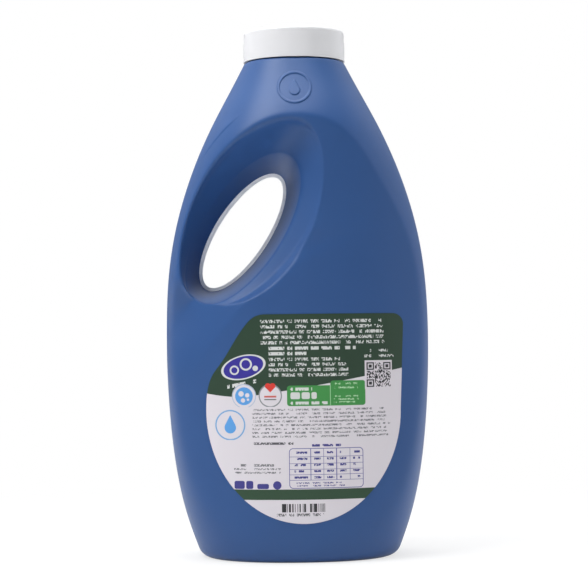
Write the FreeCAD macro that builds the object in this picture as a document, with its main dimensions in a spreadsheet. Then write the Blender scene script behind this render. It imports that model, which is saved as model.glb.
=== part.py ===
"""Laundry detergent bottle with a moulded-in handle, a drain-back spout and a dosing cap.

Units are millimetres. Z is up, the bottle stands on z = 0 and is centred on the origin.
The handle is on the -X side, and the back label faces -Y.
"""
import FreeCAD, Part
import math
import os

os.makedirs("parts", exist_ok=True)
doc = FreeCAD.newDocument("detergent_bottle")

# Rings of the blown body, from the foot to the shoulder: level, half width, half depth.
RINGS = {
    "foot": (0, 55.5, 46.2),
    "heel": (20, 62.8, 51.4),
    "low": (55, 70.5, 54.8),
    "lap": (90, 73.8, 56.4),
    "belly": (130, 74.7, 57),
    "chest": (175, 71.1, 56.4),
    "upper": (210, 62.2, 54.4),
    "collar": (246, 47.0, 48.8),
    "slope": (268, 35.3, 35.8),
    "shoulder": (281, 28.5, 28.5),
}

SIZES = {
    # Blown body
    "wall": 1.0,
    "ring_fullness": 2.15,
    "foot_round": 5,
    "panel_half_depth": 48.3,
    "panel_radius": 105,
    "standing_ring": 9,
    "push_up": 4,
    "push_up_run": 12,
    # Grip: a slanted hole in a funnel, in a shallow scoop. A ring's depths are measured
    # from the middle plane: at its head, tail, bar side and body side. The brow is how much
    # shallower the scoop is between its head and its bar side.
    "grip_across": -30.5,
    "grip_level": 184.5,
    "grip_angle": 56.3,
    "hole_long": 36.9,
    "hole_short": 13.5,
    "web_width": 1.8,
    "web_squeeze": 0.8,
    "funnel_long": 48.5,
    "funnel_short": 22.5,
    "funnel_shift": 1,
    "funnel_head_depth": 33,
    "funnel_tail_depth": 28.5,
    "funnel_bar_depth": 13,
    "funnel_body_depth": 39,
    "scoop_long": 61,
    "scoop_short": 33,
    "scoop_shift": 12,
    "scoop_head_depth": 44.5,
    "scoop_tail_depth": 34.5,
    "scoop_bar_depth": 25,
    "scoop_body_depth": 44,
    "scoop_brow": 10,
    "scoop_flare": 14,
    "scoop_reach": 75,
    # Neck and its thread
    "neck_wall": 1.8,
    "neck_root": 3,
    "thread_lead": 12,
    "thread_turn": 150,
    "thread_height": 1.3,
    "thread_root": 1.9,
    "thread_crest": 0.8,
    "thread_foot": 3.5,
    "thread_bite": 0.3,
    # Fits
    "press_clearance": 0.3,
    "turn_clearance": 0.6,
    "seat_gap": 0.7,
    "seal_clearance": 0.3,
    # Spout
    "spout_wall": 1.2,
    "spout_drop": 28,
    "spout_floor_rise": 3,
    "spout_floor_tilt": 6,
    "nozzle_radius": 11,
    "nozzle_lip": 4,
    "nozzle_tilt": 32,
    "drain_width": 7,
    "drain_length": 5,
    # Cap
    "cap_radius": 29,
    "cap_height": 17.6,
    "cap_wall": 2.1,
    "cap_top": 1.5,
    "cap_round": 2.2,
    "cap_band": 7,
    "cap_band_step": 0.25,
    "cup_wall": 1.2,
    "cup_drop": 21.5,
    "seal_thickness": 1.1,
    # Labels
    "label_thickness": 0.2,
    "label_centre": 3,
    "label_half_width": 54,
    "label_waist": 84,
    "label_drop": 62,
    "label_head": 137,
    "label_head_right": 59,
    "label_head_left": -18,
    "label_corner": 6,
    "label_slant_across": -42,
    "label_slant_level": 111,
    "label_shoulder_across": -28,
    "label_shoulder_level": 132,
    # Emblem on the shoulder
    "emblem_level": 263,
    "emblem_radius": 9.6,
    "emblem_line": 1.3,
    "emblem_rise": 0.5,
    "drop_radius": 3,
    "drop_tip": 6.4,
    # Contents
    "fill_level": 262,
    "fill_clearance": 0.3,
    # How far a cutting tool runs past what it cuts
    "overrun": 1,
}

RING_POINTS = 16
THREAD_STARTS = 3
LABEL_BOTTOM_STEPS = 8
LABEL_REACH = 0.9

sheet = doc.addObject("Spreadsheet::Sheet", "Sizes")
for ring, (level, half_width, half_depth) in RINGS.items():
    SIZES[ring + "_level"] = level
    SIZES[ring + "_half_width"] = half_width
    SIZES[ring + "_half_depth"] = half_depth
for row, (alias, value) in enumerate(SIZES.items(), start=1):
    sheet.set("A%d" % row, alias)
    sheet.set("B%d" % row, str(value))
    sheet.setAlias("B%d" % row, alias)
doc.recompute()

# Sizes that follow from the fits, from the cap inwards and from the shoulder up.
CAP_INNER = "(Sizes.cap_radius - Sizes.cap_wall)"
NECK_RADIUS = "(%s - Sizes.turn_clearance - Sizes.thread_height)" % CAP_INNER
NECK_BORE = "(%s - Sizes.neck_wall)" % NECK_RADIUS
SLEEVE_RADIUS = "(%s - Sizes.press_clearance)" % NECK_BORE
SLEEVE_INNER = "(%s - Sizes.spout_wall)" % SLEEVE_RADIUS
CUP_RADIUS = "(%s - Sizes.turn_clearance)" % SLEEVE_INNER
CUP_INNER = "(%s - Sizes.cup_wall)" % CUP_RADIUS
NOZZLE_BORE = "(Sizes.nozzle_radius - Sizes.spout_wall)"
CAP_FOOT = "(Sizes.shoulder_level + Sizes.seat_gap)"
CAP_HEAD = "(%s + Sizes.cap_height)" % CAP_FOOT
CAP_CEILING = "(%s - Sizes.cap_top)" % CAP_HEAD
SEAL_FOOT = "(%s - Sizes.seal_thickness)" % CAP_CEILING
FLANGE_TOP = "(%s - Sizes.seal_clearance)" % SEAL_FOOT
NECK_RIM = "(%s - Sizes.spout_wall)" % FLANGE_TOP
SPOUT_FOOT = "(%s - Sizes.spout_drop)" % FLANGE_TOP
SPOUT_FLOOR = "(%s + Sizes.spout_floor_rise)" % SPOUT_FOOT
NOZZLE_LIP = "(%s - Sizes.nozzle_lip)" % FLANGE_TOP
THREAD_START = "(Sizes.shoulder_level + Sizes.thread_foot)"


def size(expression):
    """The value of a driving dimension, or of an expression in them."""
    return float(sheet.evalExpression(expression))


def bind(item, **expressions):
    """Tie properties to the sheet; a double underscore in a name stands for a dot."""
    for name, expression in expressions.items():
        item.setExpression(name.replace("__", "."), expression)
    return item


def cylinder(name, radius, bottom, height, **more):
    """An upright cylinder, on the Z axis unless more gives another place."""
    item = doc.addObject("Part::Cylinder", name)
    return bind(item, Radius=radius, Height=height, Placement__Base__z=bottom, **more)


def cut(name, base, tool):
    item = doc.addObject("Part::Cut", name)
    item.Base = base
    item.Tool = tool
    return item


def join(name, pieces):
    item = doc.addObject("Part::MultiFuse", name)
    item.Shapes = pieces
    return item


def common(name, pieces):
    item = doc.addObject("Part::MultiCommon", name)
    item.Shapes = pieces
    return item


def loft(name, sections, ruled):
    item = doc.addObject("Part::Loft", name)
    item.Sections = sections
    item.Solid = True
    item.Ruled = ruled
    return item


def feature(name, shape):
    item = doc.addObject("Part::Feature", name)
    item.Shape = shape
    return item


def tube(name, outer_radius, inner_radius, bottom, height):
    """A ring or tube on the Z axis; the bore runs past both ends."""
    return cut(name, cylinder(name + "_round", outer_radius, bottom, height),
               cylinder(name + "_bore", inner_radius, "%s - Sizes.overrun" % bottom,
                        "%s + 2 * Sizes.overrun" % height))


# The blown body

def ring_wire(name, level, half_width, half_depth):
    """A closed superellipse, a little fuller than an ellipse."""
    power = 2 / size("Sizes.ring_fullness")
    points = []
    for step in range(RING_POINTS):
        turn = 2 * math.pi * step / RING_POINTS
        across = math.copysign(abs(math.cos(turn)) ** power, math.cos(turn))
        deep = math.copysign(abs(math.sin(turn)) ** power, math.sin(turn))
        points.append(FreeCAD.Vector(half_width * across, half_depth * deep, level))
    curve = Part.BSplineCurve()
    curve.interpolate(points, PeriodicFlag=True)
    return feature(name, Part.Wire(curve.toShape()))


def body_blank(name, inset):
    """The blown body before its panels and grip, inset from the outside by a distance."""
    rings = []
    for ring in RINGS:
        level = size("Sizes.%s_level" % ring)
        if ring == "foot":
            level += inset
        if ring == "shoulder":
            level -= inset
        rings.append(ring_wire("%s_%s" % (name, ring), level,
                               size("Sizes.%s_half_width" % ring) - inset,
                               size("Sizes.%s_half_depth" % ring) - inset))
    return loft(name, rings, False)


def panel_slab(name, inset):
    """The space between the two upright, gently curved label panels."""
    sides = []
    for side, word in ((-1, "back"), (1, "front")):
        centre = "%d * (Sizes.panel_half_depth - Sizes.panel_radius)" % side
        sides.append(cylinder("%s_%s" % (name, word), "Sizes.panel_radius - (%s)" % inset,
                              "-Sizes.foot_round", "Sizes.shoulder_level + 2 * Sizes.foot_round",
                              Placement__Base__y=centre))
    return common(name, sides)


# The grip's own frame: X runs up the slanted hole, Z points out of the back face.
GRIP_PLACE = ("placement(vector(Sizes.grip_across; 0; Sizes.grip_level);"
              " rotation(vector(0; 1; 0); -Sizes.grip_angle) * rotation(vector(1; 0; 0); 90))")


def grip_ring(name, long_radius, short_radius, shift, depths, side, brow=0):
    """A closed oval in the grip's frame, whose depth changes smoothly between four sides."""
    head, tail, bar, body = depths
    along = (head + tail) / 2
    across = (bar + body) / 2
    points = []
    for step in range(RING_POINTS):
        turn = 2 * math.pi * step / RING_POINTS
        depth = ((along + across) / 2 + (head - tail) / 2 * math.cos(turn)
                 + (bar - body) / 2 * math.sin(turn) + (along - across) / 2 * math.cos(2 * turn))
        if turn < math.pi / 2:
            depth += brow * math.sin(2 * turn) ** 2
        points.append(FreeCAD.Vector(shift + long_radius * math.cos(turn),
                                     short_radius * math.sin(turn), side * depth))
    curve = Part.BSplineCurve()
    curve.interpolate(points, PeriodicFlag=True)
    return feature(name, Part.Wire(curve.toShape()))


def ring_depths(ring):
    """The four depths of one ring of the grip."""
    return [size("Sizes.%s_%s_depth" % (ring, place)) for place in ("head", "tail", "bar", "body")]


def grip_cutters(name, inset):
    """The scoop and funnel on both faces, as two lofts of ovals."""
    web_width = size("Sizes.web_width")
    web_depth = size("Sizes.wall * Sizes.web_squeeze")
    flare = size("Sizes.scoop_flare")
    reach = size("Sizes.scoop_reach")
    funnel = ring_depths("funnel")
    scoop = ring_depths("scoop")
    rings = (
        ("web", size("Sizes.hole_long") + web_width, size("Sizes.hole_short") + web_width,
         0, [web_depth] * 4, 0),
        ("funnel", size("Sizes.funnel_long"), size("Sizes.funnel_short"),
         size("Sizes.funnel_shift"), funnel, 0),
        ("scoop", size("Sizes.scoop_long"), size("Sizes.scoop_short"),
         size("Sizes.scoop_shift"), scoop, size("Sizes.scoop_brow")),
        ("flare", size("Sizes.scoop_long") + flare, size("Sizes.scoop_short") + flare,
         size("Sizes.scoop_shift"), [reach] * 4, 0),
    )
    lofts = []
    for side, word in ((1, "back"), (-1, "front")):
        sections = []
        for ring, long_radius, short_radius, shift, depths, brow in rings:
            sections.append(grip_ring("%s_%s_%s" % (name, word, ring), long_radius + inset,
                                      short_radius + inset, shift,
                                      [depth - inset for depth in depths], side, brow))
        lofts.append(bind(loft("%s_%s" % (name, word), sections, True), Placement=GRIP_PLACE))
    return lofts


def grip_hole(name):
    """The hole itself, through the pressed web."""
    rims = []
    for side, word in ((1, "back"), (-1, "front")):
        rims.append(grip_ring("%s_%s" % (name, word), size("Sizes.hole_long"),
                              size("Sizes.hole_short"), 0, [size("2 * Sizes.wall")] * 4, side))
    return bind(loft(name, rims, True), Placement=GRIP_PLACE)


def push_up_cutter(name, inset):
    """The hollow under the base, which leaves a flat ring to stand on."""
    margin = size("Sizes.standing_ring")
    roof_margin = margin + size("Sizes.push_up_run")
    sections = []
    for step, level, side in (("below", -size("Sizes.push_up"), margin), ("mouth", 0, margin),
                              ("roof", size("Sizes.push_up"), roof_margin)):
        sections.append(ring_wire("%s_%s" % (name, step), level + inset,
                                  size("Sizes.foot_half_width") - side + inset,
                                  size("Sizes.foot_half_depth") - side + inset))
    return loft(name, sections, True)


def body_form(name, inset):
    """The outer form of the body at an inset: blank, panels, grip and push-up, with no hole."""
    distance = size(inset)
    blank = body_blank(name + "_blank", distance)
    doc.recompute()
    foot_top = size("Sizes.foot_level") + distance
    rounding = size("Sizes.foot_round") - distance
    rounded = doc.addObject("Part::Fillet", name + "_rounded")
    rounded.Base = blank
    rounded.Edges = [(number, rounding, rounding)
                     for number, edge in enumerate(blank.Shape.Edges, start=1)
                     if edge.CenterOfMass.z < foot_top + 0.01]
    faced = common(name + "_faced", [rounded, panel_slab(name + "_slab", inset)])
    back, front = grip_cutters(name + "_scoop", distance)
    backed = cut(name + "_scooped_back", faced, back)
    gripped = cut(name + "_scooped", backed, front)
    return cut(name, gripped, push_up_cutter(name + "_push_up", distance))


# The screw thread

def thread_ridge(name, root_radius, crest_radius, start_level):
    """Helical ridges, one for each start, from a trapezium swept along a helix."""
    lead = size("Sizes.thread_lead")
    helix = Part.makeHelix(lead, lead * size("Sizes.thread_turn") / 360, root_radius)
    root = size("Sizes.thread_root") / 2
    crest = size("Sizes.thread_crest") / 2
    corners = ((root_radius, -root), (crest_radius, -crest), (crest_radius, crest), (root_radius, root))
    points = [FreeCAD.Vector(across, 0, up) for across, up in corners]
    profile = Part.makePolygon(points + points[:1])
    ridge = Part.Wire(helix.Edges).makePipeShell([profile], True, True)
    ridges = []
    for start in range(THREAD_STARTS):
        copy = ridge.copy()
        copy.rotate(FreeCAD.Vector(), FreeCAD.Vector(0, 0, 1), 360 * start / THREAD_STARTS)
        copy.translate(FreeCAD.Vector(0, 0, start_level))
        ridges.append(feature("%s_%d" % (name, start + 1), copy))
    return ridges


# The emblem: a raised ring around a drop

def emblem():
    """The raised ring and drop on the back of the shoulder, down to the wall's inside."""
    level = size("Sizes.emblem_level")
    depth = size("Sizes.collar_half_depth + Sizes.emblem_rise")
    start = FreeCAD.Vector(0, -depth, level)
    inward = FreeCAD.Vector(0, depth - size("Sizes.emblem_radius"), 0)
    back = FreeCAD.Vector(0, -1, 0)
    outside = Part.makeCylinder(size("Sizes.emblem_radius"), inward.Length, start, -back)
    inside = Part.makeCylinder(size("Sizes.emblem_radius - Sizes.emblem_line"), inward.Length,
                               start, -back)
    radius = size("Sizes.drop_radius")
    tip = size("Sizes.drop_tip")
    centre = start - FreeCAD.Vector(0, 0, (tip - radius) / 2)
    lean = math.acos(radius / tip)
    touch_across = radius * math.sin(lean)
    touch_up = radius * math.cos(lean)
    left = centre + FreeCAD.Vector(-touch_across, 0, touch_up)
    right = centre + FreeCAD.Vector(touch_across, 0, touch_up)
    top = centre + FreeCAD.Vector(0, 0, tip)
    bowl = Part.Arc(left, centre - FreeCAD.Vector(0, 0, radius), right).toShape()
    outline = Part.Wire([bowl, Part.makeLine(right, top), Part.makeLine(top, left)])
    drop = Part.Face(outline).extrude(inward)
    marks = feature("emblem_marks", Part.makeCompound([outside.cut(inside), drop]))
    skin = body_blank("emblem_skin", -size("Sizes.emblem_rise"))
    return common("emblem", [marks, skin])


def bottle():
    """The blown bottle: body, handle, neck and thread in one hollow piece."""
    outer = body_form("outer", "0 * Sizes.wall")
    cavity = body_form("cavity", "Sizes.wall")
    neck = cylinder("neck", NECK_RADIUS, "Sizes.shoulder_level - Sizes.neck_root",
                    "%s - Sizes.shoulder_level + Sizes.neck_root" % NECK_RIM)
    root_radius = size(NECK_RADIUS)
    ridges = thread_ridge("neck_thread", root_radius - size("Sizes.thread_bite"),
                          root_radius + size("Sizes.thread_height"), size(THREAD_START))
    bore = cylinder("neck_bore", NECK_BORE, "Sizes.shoulder_level - 2 * Sizes.neck_root",
                    "%s - Sizes.shoulder_level + 3 * Sizes.neck_root" % NECK_RIM)
    solid = join("bottle_solid", [outer, neck, emblem()] + ridges)
    inside = join("bottle_inside", [cavity, bore, grip_hole("grip_hole")])
    return outer, cut("bottle", solid, inside)


def pour_spout():
    """The drain-back fitment pressed into the neck: flange, sleeve, sloped floor and nozzle."""
    flange = tube("spout_flange", NECK_RADIUS, SLEEVE_INNER, NECK_RIM, "Sizes.spout_wall")
    sleeve = tube("spout_sleeve", SLEEVE_RADIUS, SLEEVE_INNER, SPOUT_FOOT, "Sizes.spout_drop")
    floor_box = doc.addObject("Part::Box", "spout_floor_box")
    span = "2 * %s + 8 * Sizes.spout_wall" % SLEEVE_RADIUS
    bind(floor_box, Length=span, Width=span, Height="Sizes.spout_wall",
         Placement="placement(vector(0; 0; %s); rotation(vector(0; 1; 0); -Sizes.spout_floor_tilt))"
                   " * placement(vector(-(%s) / 2; -(%s) / 2; 0); rotation(vector(0; 0; 1); 0))"
                   % (SPOUT_FLOOR, span, span))
    floor_plug = cylinder("spout_floor_plug", "%s - Sizes.spout_wall / 2" % SLEEVE_RADIUS,
                          SPOUT_FOOT, "Sizes.spout_drop")
    floor = common("spout_floor", [floor_box, floor_plug])
    nozzle_round = cylinder("nozzle_round", "Sizes.nozzle_radius", SPOUT_FOOT,
                            "%s - %s" % (NOZZLE_LIP, SPOUT_FOOT))
    nozzle_bore = cylinder("nozzle_bore", NOZZLE_BORE, "%s - Sizes.spout_wall" % SPOUT_FOOT,
                           "Sizes.spout_drop + 2 * Sizes.spout_wall")
    slope = doc.addObject("Part::Box", "nozzle_slope")
    reach = "4 * Sizes.nozzle_radius"
    bind(slope, Length=reach, Width=reach, Height=reach,
         Placement="placement(vector(Sizes.nozzle_radius; 0; %s);"
                   " rotation(vector(0; 1; 0); -Sizes.nozzle_tilt))"
                   " * placement(vector(-(%s); -(%s) / 2; 0); rotation(vector(0; 0; 1); 0))"
                   % (NOZZLE_LIP, reach, reach))
    nozzle = cut("nozzle", nozzle_round, slope)
    drain = doc.addObject("Part::Box", "drain")
    bind(drain, Length="Sizes.drain_length", Width="Sizes.drain_width", Height="Sizes.spout_drop / 2",
         Placement__Base__x="-%s" % SLEEVE_INNER, Placement__Base__y="-Sizes.drain_width / 2",
         Placement__Base__z="%s - Sizes.spout_wall" % SPOUT_FOOT)
    whole = join("spout_solid", [flange, sleeve, floor, nozzle])
    return cut("pour_spout", whole, join("spout_holes", [nozzle_bore, drain]))


def cap():
    """The screw cap: a skirt with the inner thread, and the dosing cup that hangs inside it."""
    band = "(%s - Sizes.cap_band)" % CAP_HEAD
    lower = cylinder("cap_lower", "Sizes.cap_radius", CAP_FOOT, "Sizes.cap_height - Sizes.cap_band")
    upper = cylinder("cap_upper", "Sizes.cap_radius - Sizes.cap_band_step", band, "Sizes.cap_band")
    doc.recompute()
    top_edges = [number for number, edge in enumerate(upper.Shape.Edges, start=1)
                 if edge.BoundBox.ZMin > size(CAP_HEAD) - 0.01]
    rounded = doc.addObject("Part::Fillet", "cap_rounded")
    rounded.Base = upper
    rounded.Edges = [(number, size("Sizes.cap_round"), size("Sizes.cap_round"))
                     for number in top_edges]
    shell = cut("cap_shell", join("cap_round_solid", [lower, rounded]),
                cylinder("cap_hollow", CAP_INNER, "%s - Sizes.overrun" % CAP_FOOT,
                         "Sizes.cap_height - Sizes.cap_top + Sizes.overrun"))
    cup = tube("cap_cup", CUP_RADIUS, CUP_INNER, "(%s - Sizes.cup_drop)" % CAP_CEILING,
               "Sizes.cup_drop + Sizes.cap_top / 2")
    cup_hollow = cylinder("cup_hollow", CUP_INNER, "%s - Sizes.cup_drop" % CAP_CEILING,
                          "Sizes.cup_drop")
    root_radius = size(CAP_INNER)
    half_pitch = size("Sizes.thread_lead") / THREAD_STARTS / 2
    ridges = thread_ridge("cap_thread", root_radius + size("Sizes.thread_bite"),
                          root_radius - size("Sizes.thread_height"),
                          size(THREAD_START) + half_pitch)
    return cut("cap", join("cap_solid", [shell, cup] + ridges), cup_hollow)


def seal_ring():
    """The soft ring under the cap's top, over the spout's flange."""
    return tube("seal_ring", NECK_RADIUS, "%s + Sizes.seal_clearance" % CUP_RADIUS, SEAL_FOOT,
                "Sizes.seal_thickness")


def label_prism(name, side):
    """A block behind the label's outline: round below, with one slanted shoulder above."""
    away = side * size("Sizes.panel_half_depth + Sizes.wall")

    def at(across, level):
        return FreeCAD.Vector(across, away, level)

    centre = size("Sizes.label_centre")
    half_width = size("Sizes.label_half_width")
    waist = size("Sizes.label_waist")
    drop = size("Sizes.label_drop")
    head = size("Sizes.label_head")
    corner = size("Sizes.label_corner")
    head_right = size("Sizes.label_head_right")
    turns = [math.pi * step / LABEL_BOTTOM_STEPS for step in range(LABEL_BOTTOM_STEPS + 1)]
    bottom = Part.BSplineCurve()
    bottom.interpolate([at(centre - half_width * math.cos(turn), waist - drop * math.sin(turn))
                        for turn in turns])
    right_top = at(head_right, head - corner)
    head_end = at(head_right - corner, head)
    head_start = at(size("Sizes.label_head_left"), head)
    bend = corner * (1 - math.sqrt(0.5))
    corner_arc = Part.Arc(right_top, at(head_right - bend, head - bend), head_end)
    shoulder = Part.BSplineCurve()
    shoulder.interpolate(
        [head_start, at(size("Sizes.label_shoulder_across"), size("Sizes.label_shoulder_level")),
         at(size("Sizes.label_slant_across"), size("Sizes.label_slant_level")), bottom.StartPoint],
        InitialTangent=FreeCAD.Vector(-1, 0, 0), FinalTangent=FreeCAD.Vector(0, 0, -1))
    outline = Part.Wire([bottom.toShape(), Part.makeLine(bottom.EndPoint, right_top),
                         corner_arc.toShape(), Part.makeLine(head_end, head_start),
                         shoulder.toShape()])
    inward = FreeCAD.Vector(0, -away * LABEL_REACH, 0)
    return feature(name, Part.Face(outline).extrude(inward))


def labels(outer):
    """The back and front labels, thin films that follow the panels."""
    blank = body_blank("label_blank", -size("Sizes.label_thickness"))
    slab = panel_slab("label_slab", "-Sizes.label_thickness")
    films = []
    for side, word in ((-1, "back"), (1, "front")):
        block = common(word + "_label_block", [label_prism(word + "_label_prism", side), blank, slab])
        films.append(cut(word + "_label", block, outer))
    return films


def detergent():
    """The liquid, clear of the walls by a little and level at the fill line."""
    liquid = body_form("liquid", "(Sizes.wall + Sizes.fill_clearance)")
    above = cylinder("liquid_level", "2 * Sizes.belly_half_width", "Sizes.fill_level",
                     "Sizes.shoulder_level")
    return cut("detergent", liquid, above)


outer_form, bottle_piece = bottle()
pieces = [bottle_piece, pour_spout(), cap(), seal_ring(), detergent()]
pieces += labels(outer_form)
for piece in pieces:
    piece.Label = piece.Name
doc.recompute()

for item in doc.Objects:
    if "Invalid" in item.State or "Error" in item.State:
        raise ValueError("%s failed: %s" % (item.Name, item.State))
for piece in pieces:
    if piece.Shape.isNull() or not piece.Shape.isValid():
        raise ValueError("%s has no valid shape" % piece.Name)
for piece in pieces:
    piece.Shape.exportStep("parts/%s.step" % piece.Label)
    print("%-12s %8.2f cm3  %d solids" % (piece.Label, piece.Shape.Volume / 1000, len(piece.Shape.Solids)))
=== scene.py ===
# %% [markdown]
# # A laundry detergent bottle
#
# The CAD part is the fixed frame of this scene: it says where every piece is and how the cap
# moves. A blown bottle has no sharp edge anywhere, so its body is modelled again with soft
# creases. The moulded and printed pieces keep their CAD shapes. All lengths are written in
# millimetres and turned to metres at the end.

import math
from functools import partialmethod

import bmesh
import bpy
import numpy as np
from mathutils import Euler, Matrix, Vector


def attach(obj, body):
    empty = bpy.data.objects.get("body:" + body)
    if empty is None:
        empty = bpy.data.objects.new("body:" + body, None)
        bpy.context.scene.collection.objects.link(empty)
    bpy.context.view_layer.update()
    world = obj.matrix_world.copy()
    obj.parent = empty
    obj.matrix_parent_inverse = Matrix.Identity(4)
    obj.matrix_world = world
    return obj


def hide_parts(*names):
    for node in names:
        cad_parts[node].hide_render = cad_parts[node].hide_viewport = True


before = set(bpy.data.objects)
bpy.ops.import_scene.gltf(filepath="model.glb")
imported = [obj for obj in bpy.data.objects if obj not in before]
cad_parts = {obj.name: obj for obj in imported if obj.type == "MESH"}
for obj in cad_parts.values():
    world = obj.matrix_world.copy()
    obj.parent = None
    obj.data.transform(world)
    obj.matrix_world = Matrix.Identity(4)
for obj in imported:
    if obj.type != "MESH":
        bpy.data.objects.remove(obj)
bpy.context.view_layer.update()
MM = 0.001

# %% [markdown]
# ## The form of the blown body
#
# On the real bottle one smooth skin runs from the foot to the shoulder. Its cross section is a
# slightly squared ellipse, and its width and depth change slowly with height. A few measured
# rings and a natural cubic spline between them say all of that. The same rings shape the CAD
# body, so the two agree.

# %% Rings of the body and a spline between them
# level, half width, half depth
BODY_RINGS = (
    (0, 55.5, 46.2), (20, 62.8, 51.4), (55, 70.5, 54.8), (90, 73.8, 56.4), (130, 74.7, 57),
    (175, 71.1, 56.4), (210, 62.2, 54.4), (246, 47.0, 48.8), (268, 35.3, 35.8), (281, 28.5, 28.5))
FULLNESS = 2.15
SHOULDER = 281


def spline(places, values):
    """A natural cubic spline through the values, as a function of an array of places."""
    places = np.array(places, float)
    values = np.array(values, float)
    gaps = np.diff(places)
    slopes = np.diff(values) / gaps
    last = len(places) - 1
    system = np.eye(last + 1)
    target = np.zeros(last + 1)
    for i in range(1, last):
        system[i, i - 1:i + 2] = gaps[i - 1], 2 * (gaps[i - 1] + gaps[i]), gaps[i]
        target[i] = 6 * (slopes[i] - slopes[i - 1])
    bend = np.linalg.solve(system, target)

    def curve(place):
        i = np.clip(np.searchsorted(places, place) - 1, 0, last - 1)
        run = place - places[i]
        rise = slopes[i] - gaps[i] * (2 * bend[i] + bend[i + 1]) / 6
        return (values[i] + run * rise + run ** 2 * bend[i] / 2
                + run ** 3 * (bend[i + 1] - bend[i]) / (6 * gaps[i]))

    return curve


levels_known, widths_known, depths_known = zip(*BODY_RINGS)
half_width = spline(levels_known, widths_known)
half_depth = spline(levels_known, depths_known)
print("Half width at 100 mm up: %.1f" % half_width(np.array([100.0]))[0])

# %% [markdown]
# ## Panels and grip
#
# Two gently curved panels take the labels, and a slanted grip is pressed in from both faces until
# the walls meet in a thin web with a hole. Each is a surface of its own, given as a distance from
# the middle plane. The body keeps the lowest of them. Taking a soft minimum instead of a hard one
# rounds each crease, as blown plastic does, and its softness in millimetres sets the radius.

# %% Depth of the skin at any place of the face
PANEL_DEPTH = 48.3
PANEL_RADIUS = 105
# the crease round a panel is crisp above a level and melts away below it
CRISP = 0.22
MELTED = 1.3
MELT_FROM = 205.0
MELT_RUN = 90.0
GRIP_CENTRE = (-30.5, 184.5)
GRIP_TURN = math.radians(56.3)
# half length, half breadth, shift up the slant, and depths at the head, tail, bar and body sides
GRIP_RINGS = np.array((
    (38.7, 15.3, 0, 0.8, 0.8, 0.8, 0.8),
    (48.5, 22.5, 1, 33, 28.5, 13, 39),
    (57.5, 31, 9, 44.5, 34.5, 25, 44),
    (71.5, 45, 9, 75, 75, 75, 59)))
OUTSIDE = len(GRIP_RINGS) - 1
RING_SLACK = 0.001
HALVINGS = 26
CREASE_WIDTHS = (0.05, 0.03)
# the third oval stands higher between the grip's head and its bar
BROW_RING = 2
BROW_RISE = 10
# the grip's outer edge is crisp on the side of the body and soft on the side of the bar
EDGE_CRISP = 0.3
EDGE_SOFTER = 2.2
BAR_GAIN = 1.4
BAR_FROM = 0.3
# under the grip's tail the panel falls away to the left, beyond a wide arc down the face
FALL_CENTRE = (75.6, 35.2)
FALL_RADIUS = 150.0
FALL_SLOPE = 0.3
FALL_SOFT = 0.4
FALL_LEVELS = (98.0, 134.0, 160.0, 185.0)
FALL_BAR = (0.0, 0.5)
FALL_MARGIN = 12.0
FAR = 1000.0


def soft_min(one, other, softness):
    """The lower of two surfaces, with the crease between them rounded."""
    apart = np.abs(one - other)
    return np.minimum(one, other) - softness * np.log1p(np.exp(-apart / softness))


def to_grip(x, z):
    """Places on the face, as lengths along and across the slanted grip."""
    right, up = x - GRIP_CENTRE[0], z - GRIP_CENTRE[1]
    return (right * math.cos(GRIP_TURN) + up * math.sin(GRIP_TURN),
            up * math.cos(GRIP_TURN) - right * math.sin(GRIP_TURN))


def from_grip(along, across):
    return (GRIP_CENTRE[0] + along * math.cos(GRIP_TURN) - across * math.sin(GRIP_TURN),
            GRIP_CENTRE[1] + along * math.sin(GRIP_TURN) + across * math.cos(GRIP_TURN))


def oval(ring):
    """Half length, half breadth and shift of the grip's oval at a ring number with decimals."""
    whole = np.clip(ring.astype(int), 0, OUTSIDE - 1)
    part = (ring - whole)[..., None]
    return np.moveaxis(GRIP_RINGS[whole, :3] * (1 - part) + GRIP_RINGS[whole + 1, :3] * part, -1, 0)


def ring_and_turn(x, z):
    """Which of the grip's ovals goes through a place, and the angle on it."""
    along, across = to_grip(x, z)
    low, high = np.zeros_like(along), np.full_like(along, float(OUTSIDE))
    for _ in range(HALVINGS):
        middle = (low + high) / 2
        long, short, shift = oval(middle)
        beyond = ((along - shift) / long) ** 2 + (across / short) ** 2 > 1
        low, high = np.where(beyond, middle, low), np.where(beyond, high, middle)
    long, short, shift = oval(high)
    return high, np.arctan2(across / short, (along - shift) / long)


def grip_depth(ring, turn):
    """Depth of the pressed grip on an oval, with soft corners at the two creases."""
    depths = []
    for head, tail, bar, body in GRIP_RINGS[:, 3:]:
        along, across = (head + tail) / 2, (bar + body) / 2
        depths.append((along + across) / 2 + (head - tail) / 2 * np.cos(turn)
                      + (bar - body) / 2 * np.sin(turn) + (along - across) / 2 * np.cos(2 * turn))
    between = (np.cos(turn) > 0) & (np.sin(turn) > 0)
    brow = np.where(between, BROW_RISE * np.sin(2 * turn) ** 2, 0)
    depths[BROW_RING] = depths[BROW_RING] + brow
    depth = depths[0] + (depths[1] - depths[0]) * ring
    for crease, width in enumerate(CREASE_WIDTHS, start=1):
        bend = (depths[crease + 1] - depths[crease]) - (depths[crease] - depths[crease - 1])
        depth = depth + bend * width * np.logaddexp(0, (ring - crease) / width)
    return depth


def body_depth(x, z, inset=0.0):
    """Depth of the bare blown body."""
    wide = half_width(z) - inset
    share = np.clip(1 - (np.abs(x) / wide) ** FULLNESS, 0, 1)
    return (half_depth(z) - inset) * share ** (1 / FULLNESS)


def ramp(value, low, high):
    """0 below the low value, 1 above the high one, with a smooth rise between."""
    part = np.clip((value - low) / (high - low), 0, 1)
    return part * part * (3 - 2 * part)


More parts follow.
